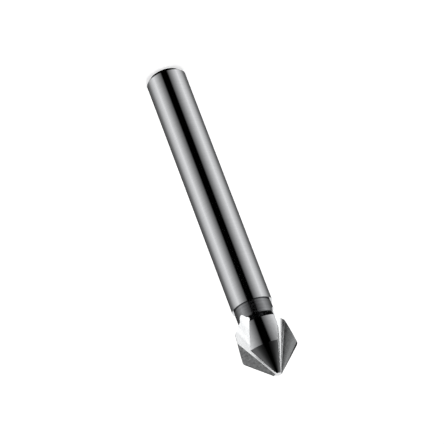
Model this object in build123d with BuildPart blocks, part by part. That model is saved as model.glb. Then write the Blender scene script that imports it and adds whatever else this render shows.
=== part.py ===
"""Three-flute 90 degree countersink bit with a plain straight shank.

One bar of high-speed steel: it is turned to a stepped profile, three flutes are
ground into the head, and each cone land is ground back behind its cutting edge.
The bit stands on the flat end of its shank. The axis is Z and the point is up.
"""

import os
from math import cos, radians, sin, tan

from build123d import *

os.makedirs("parts", exist_ok=True)

# Shank and neck, in millimetres
overall_length = 50.0
shank_diameter = 6.0
shank_chamfer = 0.7
neck_diameter = 5.5
neck_length = 2.1

# Head, in millimetres and degrees
head_diameter = 8.3
head_back_diameter = 7.4
shoulder_length = 1.15
head_body_length = 4.1
point_angle = 90.0
tip_diameter = 1.3

# Flutes, in degrees as seen from the point: each narrows toward the cone's apex
flute_count = 3
land_angle = 62.0
rake_skew = 14.0
floor_slope = 14.6
heel_wall_angle = 63.8

# Flute floor, as shares of the distance to the cone's apex
rake_corner_radius = 0.17
floor_bend_side = 0.06
floor_bend_radius = 0.15
crease_side = 0.27

# Ground-back cone lands: drop at the heel, and which way the grinding is set over
cone_relief = 0.06
relief_angle = 45.0

# How far the cutting shapes run past the bit
overrun = 1.0

# Worked-out sizes
shank_radius = shank_diameter / 2
neck_radius = neck_diameter / 2
head_radius = head_diameter / 2
head_back_radius = head_back_diameter / 2
tip_radius = tip_diameter / 2
cone_slope = tan(radians(point_angle / 2))
cone_base_z = overall_length - (head_radius - tip_radius) / cone_slope
apex_z = cone_base_z + head_radius / cone_slope
shoulder_end_z = cone_base_z - head_body_length
shoulder_start_z = shoulder_end_z - shoulder_length
shank_length = shoulder_start_z - neck_length
flute_pitch = 360 / flute_count

with BuildPart() as countersink_bit:
    # The turned blank: shank, neck, shoulder, head body and cone in one profile.
    with BuildSketch(Plane.XZ):
        with BuildLine():
            Polyline(
                (0, 0),
                (shank_radius - shank_chamfer, 0),
                (shank_radius, shank_chamfer),
                (shank_radius, shank_length),
                (neck_radius, shank_length),
                (neck_radius, shoulder_start_z),
                (head_back_radius, shoulder_end_z),
                (head_radius, cone_base_z),
                (tip_radius, overall_length),
                (0, overall_length),
                close=True,
            )
        make_face()
    revolve(axis=Axis.Z)

    # Each cone land drops evenly from its cutting edge back to its heel.
    relief_radius_loss = cone_relief * cos(radians(relief_angle))
    relief_apex_z = apex_z - relief_radius_loss / cone_slope
    relief_reach = head_radius + overrun
    for index in range(flute_count):
        edge_azimuth = index * flute_pitch
        set_over = radians(edge_azimuth + relief_angle)
        start = radians(edge_azimuth - (land_angle + flute_pitch) / 2)
        centre = Vector(cone_relief * cos(set_over), cone_relief * sin(set_over), 0)
        outward = (cos(start), sin(start), 0)
        across = (sin(start), -cos(start), 0)
        with BuildSketch(Plane(origin=centre, x_dir=outward, z_dir=across)):
            with BuildLine():
                Polyline(
                    (0, relief_apex_z),
                    (relief_reach, relief_apex_z - relief_reach / cone_slope),
                    (relief_reach, apex_z + overrun),
                    (0, apex_z + overrun),
                    close=True,
                )
            make_face()
        relief_axis = Axis(origin=centre, direction=(0, 0, 1))
        revolve(axis=relief_axis, revolution_arc=flute_pitch, mode=Mode.SUBTRACT)

    # The flutes: a flat rake face, a bent floor and a flat heel wall, drawn at the
    # shank's end with X along the flute's depth and run out at the cone's apex.
    reach = apex_z - shank_length
    outside = reach + head_radius + overrun
    floor_depth = reach * tan(radians(floor_slope))
    rake_y = -reach * sin(radians(rake_skew))
    heel_azimuth = radians(flute_pitch - land_angle - rake_skew)
    heel_x = reach * cos(heel_azimuth)
    heel_y = reach * sin(heel_azimuth)
    heel_run = 1 / tan(radians(heel_wall_angle))
    bend_y = reach * floor_bend_side
    crease_y = reach * crease_side
    crease_x = heel_x - (heel_y - crease_y) * heel_run
    heel_end_x = heel_x + (outside - heel_y) * heel_run
    for index in range(flute_count):
        turn = index * flute_pitch + rake_skew
        with BuildSketch(Plane.XY.offset(shank_length).rotated((0, 0, turn))) as flute:
            with BuildLine():
                Polyline(
                    (outside, rake_y),
                    (floor_depth, rake_y),
                    (floor_depth, bend_y),
                    (crease_x, crease_y),
                    (heel_end_x, outside),
                    (outside, outside),
                    close=True,
                )
            make_face()
            rake_corner = flute.vertices().sort_by_distance((floor_depth, rake_y))[0]
            fillet(rake_corner, reach * rake_corner_radius)
            floor_bend = flute.vertices().sort_by_distance((floor_depth, bend_y))[0]
            fillet(floor_bend, reach * floor_bend_radius)
        loft(
            [flute.sketch.faces()[0], Vertex(0, 0, apex_z)],
            ruled=True,
            mode=Mode.SUBTRACT,
        )

countersink_bit.part.label = "countersink_bit"
export_step(countersink_bit.part, "parts/countersink_bit.step")
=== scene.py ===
"""A three-flute countersink bit, standing on the flat end of its shank."""

from math import atan2, degrees, radians, tan

import bmesh
import bpy
from mathutils import Matrix, Vector


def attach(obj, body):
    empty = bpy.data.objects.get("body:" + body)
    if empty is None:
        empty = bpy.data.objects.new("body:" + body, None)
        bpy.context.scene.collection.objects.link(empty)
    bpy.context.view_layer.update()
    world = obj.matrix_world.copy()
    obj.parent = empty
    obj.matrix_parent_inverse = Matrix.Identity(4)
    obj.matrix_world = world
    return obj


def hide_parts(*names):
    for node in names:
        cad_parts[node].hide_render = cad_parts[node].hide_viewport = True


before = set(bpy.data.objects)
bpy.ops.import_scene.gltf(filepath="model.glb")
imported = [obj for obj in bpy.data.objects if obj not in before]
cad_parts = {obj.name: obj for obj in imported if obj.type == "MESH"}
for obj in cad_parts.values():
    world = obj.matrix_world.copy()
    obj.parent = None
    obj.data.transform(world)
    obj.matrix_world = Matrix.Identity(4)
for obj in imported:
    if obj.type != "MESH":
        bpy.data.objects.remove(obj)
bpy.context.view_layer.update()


# ---------------------------------------------------------------------------
# The camera: a long lens well back from the bit, looking down at its point and
# rolled over, so that the bit hangs across the frame with its point low right.
camera_data = bpy.data.cameras.new("camera")
camera_data.sensor_width = 36.0
camera_data.lens = 192.6
camera_data.clip_start = 0.01
camera_data.clip_end = 50.0
camera = bpy.data.objects.new("camera", camera_data)
camera.matrix_world = (
    Matrix.Rotation(radians(52.05), 4, "Z")
    @ Matrix.Translation((-0.00027, 0.0, 0.02525))
    @ Matrix.Rotation(radians(90.0 - 23.61), 4, "X")
    @ Matrix.Rotation(radians(159.17), 4, "Z")
    @ Matrix.Translation((0.0, 0.0, 0.3416))
)
bpy.context.scene.collection.objects.link(camera)
bpy.context.scene.camera = camera


# ---------------------------------------------------------------------------
# The steel's finishes. All are bare high-speed steel, a neutral light grey metal, and differ in how they
# were turned or ground, and so in gloss and fine lines. Their base greys differ too, from the dark neck to
# the light flute floors: painted shade and light, not a difference in the steel.


MM = 0.001


def steel_color(code):
    """A six-digit sRGB hex code as linear red, green, blue and alpha."""
    channels = [int(code[i:i + 2], 16) / 255 for i in (1, 3, 5)]
    linear = [c / 12.92 if c <= 0.04045 else ((c + 0.055) / 1.055) ** 2.4 for c in channels]
    return (*linear, 1.0)


def add(tree, kind, links=(), stops=(), **settings):
    """Adds a node, sets its fields or input values, its ramp's grey stops, and its links."""
    made = tree.nodes.new(kind)
    for _ in stops[2:]:
        made.color_ramp.elements.new(0.5)
    for index, (at, grey) in enumerate(stops):
        made.color_ramp.elements[index].position = at
        made.color_ramp.elements[index].color = (grey, grey, grey, 1.0)
    for name, value in settings.items():
        if name in made.inputs:
            made.inputs[name].default_value = value
        else:
            setattr(made, name, value)
    for name, source in links:
        tree.links.new(source, made.inputs[name])
    return made


def bare_steel(name, code, roughness, spacing_mm, depth_mm, shade=0.12):
    """Bare steel with ground lines: their spacing along X, Y and Z, and their depth."""
    steel = bpy.data.materials.new(name)
    steel.use_nodes = True
    tree = steel.node_tree
    shader = tree.nodes["Principled BSDF"]
    shader.inputs["Metallic"].default_value = 1.0
    place = add(tree, "ShaderNodeTexCoord").outputs["Object"]
    per_line = [1 / (size * MM) for size in spacing_mm]
    place = add(tree, "ShaderNodeMapping", [("Vector", place)], Scale=per_line).outputs["Vector"]
    lines = add(tree, "ShaderNodeTexNoise", [("Vector", place)], Scale=1.0, Detail=3.0, Roughness=0.6)
    lines = lines.outputs["Fac"]
    relief = add(tree, "ShaderNodeBump", [("Height", lines)], Strength=1.0, Distance=depth_mm * MM)
    tree.links.new(relief.outputs["Normal"], shader.inputs["Normal"])
    gloss = add(tree, "ShaderNodeMapRange", [("Value", lines)], **{
        "From Min": 0.3, "From Max": 0.7, "To Min": roughness * 0.8, "To Max": roughness * 1.2,
    })
    tree.links.new(gloss.outputs["Result"], shader.inputs["Roughness"])
    tone = add(tree, "ShaderNodeValToRGB", [("Fac", lines)])
    bright = steel_color(code)
    tone.color_ramp.elements[0].position = 0.3
    tone.color_ramp.elements[0].color = [c * (1 - shade) for c in bright[:3]] + [1.0]
    tone.color_ramp.elements[1].position = 0.7
    tone.color_ramp.elements[1].color = bright
    tree.links.new(tone.outputs["Color"], shader.inputs["Base Color"])
    return steel


# The lines are drawn 0.2 to 0.4 mm apart: real ones are a few hundredths, too fine to show.
# Each finish's base grey is painted shade or light for its surface: darker on the neck, heel walls and
# rake faces, lighter on the flute floors.
polished_shank = bare_steel("polished_ground_shank", "#DDDEE0", 0.07, (3.0, 3.0, 0.25), 0.0006, 0.06)
turned_neck = bare_steel("fine_turned_neck", "#9C9D9F", 0.12, (6.0, 6.0, 0.22), 0.003, 0.25)
ground_land = bare_steel("relief_ground_lands", "#D6D7D9", 0.08, (0.4, 0.4, 0.4), 0.0008, 0.1)
ground_floor = bare_steel("ground_flute_floors", "#E9EAEB", 0.28, (0.25, 0.25, 2.5), 0.001, 0.06)
ground_heel = bare_steel("ground_heel_walls", "#B6B7B8", 0.18, (0.5, 0.5, 0.2), 0.003, 0.35)
ground_rake = bare_steel("ground_rake_faces", "#C6C7C7", 0.2, (0.3, 0.3, 1.5), 0.002, 0.2)

# A painted tone, not a stain: it stands in for the dark reflection toward the flute's core.
# It stops at half, so that the face still looks right under other light.
cone_apex_z = 50.65
tree = ground_rake.node_tree
place = add(tree, "ShaderNodeTexCoord").outputs["Object"]
height = add(tree, "ShaderNodeSeparateXYZ", [("Vector", place)]).outputs["Z"]
to_apex = add(tree, "ShaderNodeMath", [(1, height)], operation="SUBTRACT")
to_apex.inputs[0].default_value = cone_apex_z * MM
outward = add(tree, "ShaderNodeVectorMath", [(0, place)], operation="MULTIPLY")
outward.inputs[1].default_value = (1.0, 1.0, 0.0)
outward = add(tree, "ShaderNodeVectorMath", [(0, outward.outputs["Vector"])], operation="LENGTH")
share = add(
    tree, "ShaderNodeMath", [(0, outward.outputs["Value"]), (1, to_apex.outputs["Value"])],
    operation="DIVIDE",
)
core_tone = add(
    tree, "ShaderNodeValToRGB", [("Fac", share.outputs["Value"])],
    stops=[(0.5, 0.5), (0.7, 0.5), (0.95, 1.0)],
)
shader = tree.nodes["Principled BSDF"]
ground_tone = shader.inputs["Base Color"].links[0].from_socket
toned = add(
    tree, "ShaderNodeMixRGB", [("Color1", ground_tone), ("Color2", core_tone.outputs["Color"])],
    blend_type="MULTIPLY", Fac=1.0,
)
tree.links.new(toned.outputs["Color"], shader.inputs["Base Color"])

finishes = [polished_shank, turned_neck, ground_land, ground_floor, ground_heel, ground_rake]
SHANK, NECK, LAND, FLOOR, HEEL, RAKE = range(6)


# ---------------------------------------------------------------------------
# The bit's blank: a bar of high-speed steel turned to shank, neck, shoulder,
# back-tapered head and cone in one go, with a chamfer round the shank's end.
shank_radius = 3.0
shank_chamfer = 0.7
shank_end_z = 39.15
neck_radius = 2.75
neck_end_z = 41.25
head_back_radius = 3.7
shoulder_end_z = 42.4
head_radius = 4.15
cone_base_z = 46.5
tip_radius = 0.65
tip_z = 50.0

blank = bmesh.new()
profile = [
    (0.0, 0.0), (shank_radius - shank_chamfer, 0.0), (shank_radius, shank_chamfer),
    (shank_radius, shank_end_z), (neck_radius, shank_end_z), (neck_radius, neck_end_z),
    (head_back_radius, shoulder_end_z),
    (head_radius, cone_base_z), (tip_radius, tip_z), (0.0, tip_z),
]
corners = [blank.verts.new((radius * MM, 0.0, z * MM)) for radius, z in profile]
sides = [blank.edges.new(pair) for pair in zip(corners, corners[1:])]
bmesh.ops.spin(
    blank, geom=corners + sides, cent=(0, 0, 0), axis=(0, 0, 1),
    angle=radians(360), steps=240, use_merge=True,
)
bmesh.ops.remove_doubles(blank, verts=blank.verts, dist=0.001 * MM)
bmesh.ops.recalc_face_normals(blank, faces=blank.faces)
for face in blank.faces:
    z = face.calc_center_median().z / MM
    if z < shank_end_z:
        face.material_index = SHANK
    elif z < shoulder_end_z:
        face.material_index = NECK
    else:
        face.material_index = LAND if z < tip_z else FLOOR

# Each cone land is ground back evenly from its cutting edge to its heel.
land_angle = 62.0
cone_relief = 0.06
for corner in blank.verts:
    if corner.co.z > (cone_base_z - 0.01) * MM and corner.co.xy.length > 0.1 * MM:
        behind = degrees(-atan2(corner.co.y, corner.co.x)) % 120.0
        drop = min(behind / land_angle, (120.0 - behind) / (120.0 - land_angle)) * cone_relief * MM
        corner.co.xy *= 1.0 - drop / corner.co.xy.length

bit_mesh = bpy.data.meshes.new("ground_bit")
blank.to_mesh(bit_mesh)
blank.free()
bit = bpy.data.objects.new("ground_bit", bit_mesh)
bpy.context.scene.collection.objects.link(bit)


# ---------------------------------------------------------------------------
# The three flutes, ground into the hard blank with a shaped wheel: a flat rake
# face, a bent floor and a flat heel wall, all narrowing to a point near the cone's apex.
wheel_apex = Vector((0.12, -0.28, cone_base_z + head_radius))
rake_skew = radians(14.0)
rake_side = -1.2
floor_depth = 1.18
rake_corner_radius = 0.5
floor_bend_side = 0.157
floor_bend_radius = 1.3
crease = Vector((2.10, 0.985))
heel = Vector((2.985, 2.883))
outside = 6.0
near_scale = 0.02
far_scale = 2.771

wheel = bmesh.new()
section_corners = [
    (outside, rake_side), (floor_depth, rake_side), (floor_depth, floor_bend_side), crease,
    crease + (heel - crease) * 3.0, (outside, outside),
]
points = [wheel.verts.new(Vector((x, y, cone_base_z)) * MM) for x, y in section_corners]
for pair in zip(points, points[1:] + points[:1]):
    wheel.edges.new(pair)
bend_turn = atan2(crease.x - floor_depth, crease.y - floor_bend_side)
bend_cut_back = floor_bend_radius * tan(bend_turn / 2)
for point, cut_back in ((points[1], rake_corner_radius), (points[2], bend_cut_back)):
    bmesh.ops.bevel(
        wheel, geom=[point], offset=cut_back * MM, offset_type="OFFSET",
        segments=12, profile=0.5, affect="VERTICES", material=-1,
    )
section = bmesh.ops.contextual_create(wheel, geom=wheel.edges)["faces"]
about_apex = Matrix.Translation(-wheel_apex * MM)
grown = bmesh.ops.extrude_face_region(wheel, geom=section)["geom"]
near_end = [item for item in grown if isinstance(item, bmesh.types.BMVert)]
far_end = [corner for corner in wheel.verts if corner not in set(near_end)]
bmesh.ops.scale(wheel, vec=[near_scale] * 3, space=about_apex, verts=near_end)
bmesh.ops.scale(wheel, vec=[far_scale] * 3, space=about_apex, verts=far_end)
for face in wheel.faces:
    centre = face.calc_center_median() / MM
    across = wheel_apex.y + (centre.y - wheel_apex.y) * head_radius / (wheel_apex.z - centre.z)
    if across < rake_side + 0.01:
        face.material_index = RAKE
    else:
        face.material_index = HEEL if across > crease.y + 0.01 else FLOOR
bmesh.ops.rotate(wheel, cent=(0, 0, 0), matrix=Matrix.Rotation(rake_skew, 3, "Z"), verts=wheel.verts)
bmesh.ops.spin(
    wheel, geom=wheel.verts[:] + wheel.edges[:] + wheel.faces[:], cent=(0, 0, 0), axis=(0, 0, 1),
    angle=radians(240), steps=2, use_duplicate=True,
)
bmesh.ops.recalc_face_normals(wheel, faces=wheel.faces)
wheel_mesh = bpy.data.meshes.new("flute_wheels")
wheel.to_mesh(wheel_mesh)
wheel.free()
wheels = bpy.data.objects.new("flute_wheels", wheel_mesh)
bpy.context.scene.collection.objects.link(wheels)

for finish in finishes:
    bit_mesh.materials.append(finish)
    wheel_mesh.materials.append(finish)
grinding = bit.modifiers.new("flutes", "BOOLEAN")
grinding.operation = "DIFFERENCE"
grinding.solver = "EXACT"
grinding.object = wheels
bpy.context.view_layer.update()
ground_shape = bit.evaluated_get(bpy.context.evaluated_depsgraph_get())
ground = bpy.data.meshes.new_from_object(ground_shape)
bit.modifiers.clear()
bit.data = bit_mesh = ground
bpy.data.objects.remove(wheels)

finished = bmesh.new()
finished.from_mesh(bit_mesh)
bmesh.ops.remove_doubles(finished, verts=finished.verts, dist=0.002 * MM)
for face in finished.faces:
    face.smooth = True
breaks = finished.edges.layers.float.new("bevel_weight_edge")
for edge in finished.edges:
    edge.smooth = edge.calc_face_angle(0) < radians(9)
    around_edge = {face.material_index for face in edge.link_faces}
    if not edge.smooth:
        edge[breaks] = 1.0 if around_edge & {RAKE, HEEL} and LAND in around_edge else 0.5
finished.to_mesh(bit_mesh)
finished.free()

edges = bit.modifiers.new("edge breaks", "BEVEL")
edges.limit_method = "WEIGHT"
edges.width = 0.05 * MM
edges.segments = 2
edges.use_clamp_overlap = True
# The edge breaks take the flute floors' light grey: their bright line is partly the real bevel catching
# light and partly a painted highlight.
edges.material = FLOOR
shading = bit.modifiers.new("flat faces shade flat", "WEIGHTED_NORMAL")
shading.keep_sharp = True

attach(bit, "root")
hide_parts("countersink_bit")


# ---------------------------------------------------------------------------
# The studio: a pale table that the bit stands on, and a white tent round it
# with a dark gap on the camera's side, a dim roof and a dark foot.
table = bmesh.new()
bmesh.ops.create_circle(table, cap_ends=True, segments=96, radius=2.0)
table_mesh = bpy.data.meshes.new("table")
table.to_mesh(table_mesh)
table.free()
table_top = bpy.data.objects.new("table", table_mesh)
bpy.context.scene.collection.objects.link(table_top)
table_top.visible_glossy = False

table_material = bpy.data.materials.new("matt_white_table")
table_material.use_nodes = True
table_shader = table_material.node_tree.nodes["Principled BSDF"]
table_shader.inputs["Base Color"].default_value = steel_color("#F4F4F4")
table_shader.inputs["Roughness"].default_value = 0.9
table_shader.inputs["Specular IOR Level"].default_value = 0.0
table_shader.inputs["Emission Color"].default_value = (1, 1, 1, 1)
table_shader.inputs["Emission Strength"].default_value = 0.6
table_mesh.materials.append(table_material)

lamp_data = bpy.data.lights.new("overhead_softbox", "AREA")
lamp_data.shape = "SQUARE"
lamp_data.size = 0.35
lamp_data.energy = 1.2
lamp = bpy.data.objects.new("overhead_softbox", lamp_data)
lamp.matrix_world = Matrix.Translation((0.0, 0.0, 0.45))
lamp.visible_glossy = False
bpy.context.scene.collection.objects.link(lamp)

world = bpy.data.worlds.new("tent")
world.use_nodes = True
bpy.context.scene.world = world
tree = world.node_tree
tree.nodes.clear()
direction = add(tree, "ShaderNodeTexCoord").outputs["Generated"]
height = add(tree, "ShaderNodeSeparateXYZ", [("Vector", direction)]).outputs["Z"]
level = add(tree, "ShaderNodeVectorMath", [(0, direction)], operation="MULTIPLY")
level.inputs[1].default_value = (1.0, 1.0, 0.0)
level = add(tree, "ShaderNodeVectorMath", [(0, level.outputs["Vector"])], operation="NORMALIZE")
toward_gap = add(
    tree, "ShaderNodeVectorMath", [(0, level.outputs["Vector"])], operation="DOT_PRODUCT"
)
toward_gap.inputs[1].default_value = Matrix.Rotation(radians(-42.5), 3, "Z") @ Vector((1.0, 0.0, 0.0))
whole_range = {"From Min": -1.0, "From Max": 1.0}
around_share = add(tree, "ShaderNodeMapRange", [("Value", toward_gap.outputs["Value"])], **whole_range)
height_share = add(tree, "ShaderNodeMapRange", [("Value", height)], **whole_range)

# The tent's walls: dim at the back, white at the sides, dark in the gap, dim above and below.
around = add(tree, "ShaderNodeValToRGB", [("Fac", around_share.outputs["Result"])], stops=[
    (0.0, 0.05), (0.2, 0.2), (0.4, 0.6), (0.65, 1.0), (0.85, 0.5), (0.96, 0.15), (0.98, 0.0), (1.0, 0.0),
])
up_down = add(tree, "ShaderNodeValToRGB", [("Fac", height_share.outputs["Result"])], stops=[
    (0.0, 0.02), (0.125, 0.05), (0.225, 1.0), (0.3, 1.0), (0.55, 0.45), (0.9, 0.25), (0.96, 0.05),
    (1.0, 0.02),
])
walls = add(
    tree, "ShaderNodeMixRGB", [("Color1", around.outputs["Color"]), ("Color2", up_down.outputs["Color"])],
    blend_type="MULTIPLY", Fac=1.0,
)

# A soft glow at the back, raised 26 degrees, which the point's flat end reflects.
toward_glow = add(tree, "ShaderNodeVectorMath", [(0, direction)], operation="DOT_PRODUCT")
toward_glow.inputs[1].default_value = (
    Matrix.Rotation(radians(142.0), 3, "Z") @ Matrix.Rotation(radians(-26.0), 3, "Y")
    @ Vector((1.0, 0.0, 0.0))
)
glow_share = add(
    tree, "ShaderNodeMapRange", [("Value", toward_glow.outputs["Value"])],
    **{"From Min": 0.5, "From Max": 1.0},
)
back_glow = add(
    tree, "ShaderNodeValToRGB", [("Fac", glow_share.outputs["Result"])],
    stops=[(0.0, 0.0), (0.8, 0.0), (0.92, 1.0), (1.0, 1.0)],
)
walls = add(
    tree, "ShaderNodeMixRGB", [("Color1", walls.outputs["Color"]), ("Color2", back_glow.outputs["Color"])],
    blend_type="LIGHTEN", Fac=1.0,
)

# A bright belt round the horizon, which the flute floors reflect. It stops at the back.
belt_share = add(
    tree, "ShaderNodeMapRange", [("Value", height)], **{"From Min": -0.5, "From Max": 0.5}
)
belt = add(tree, "ShaderNodeValToRGB", [("Fac", belt_share.outputs["Result"])], stops=[
    (0.0, 0.0), (0.2, 0.0), (0.33, 1.0), (0.55, 1.0), (0.64, 0.0), (1.0, 0.0),
])
belt_reach = add(
    tree, "ShaderNodeValToRGB", [("Fac", around_share.outputs["Result"])],
    stops=[(0.0, 0.0), (0.09, 0.0), (0.185, 1.0), (1.0, 1.0)],
)
belt = add(
    tree, "ShaderNodeVectorMath", [(0, belt.outputs["Color"]), (1, belt_reach.outputs["Color"])],
    operation="MULTIPLY",
)
belt = add(tree, "ShaderNodeVectorMath", [(0, belt.outputs["Vector"])], operation="SCALE", Scale=1.7)
tent = add(
    tree, "ShaderNodeMixRGB", [("Color1", walls.outputs["Color"]), ("Color2", belt.outputs["Vector"])],
    blend_type="LIGHTEN", Fac=1.0,
)
background = add(tree, "ShaderNodeBackground", [("Color", tent.outputs["Color"])], Strength=1.0)
add(tree, "ShaderNodeOutputWorld", [("Surface", background.outputs["Background"])])

bpy.context.scene.view_settings.view_transform = "Standard"
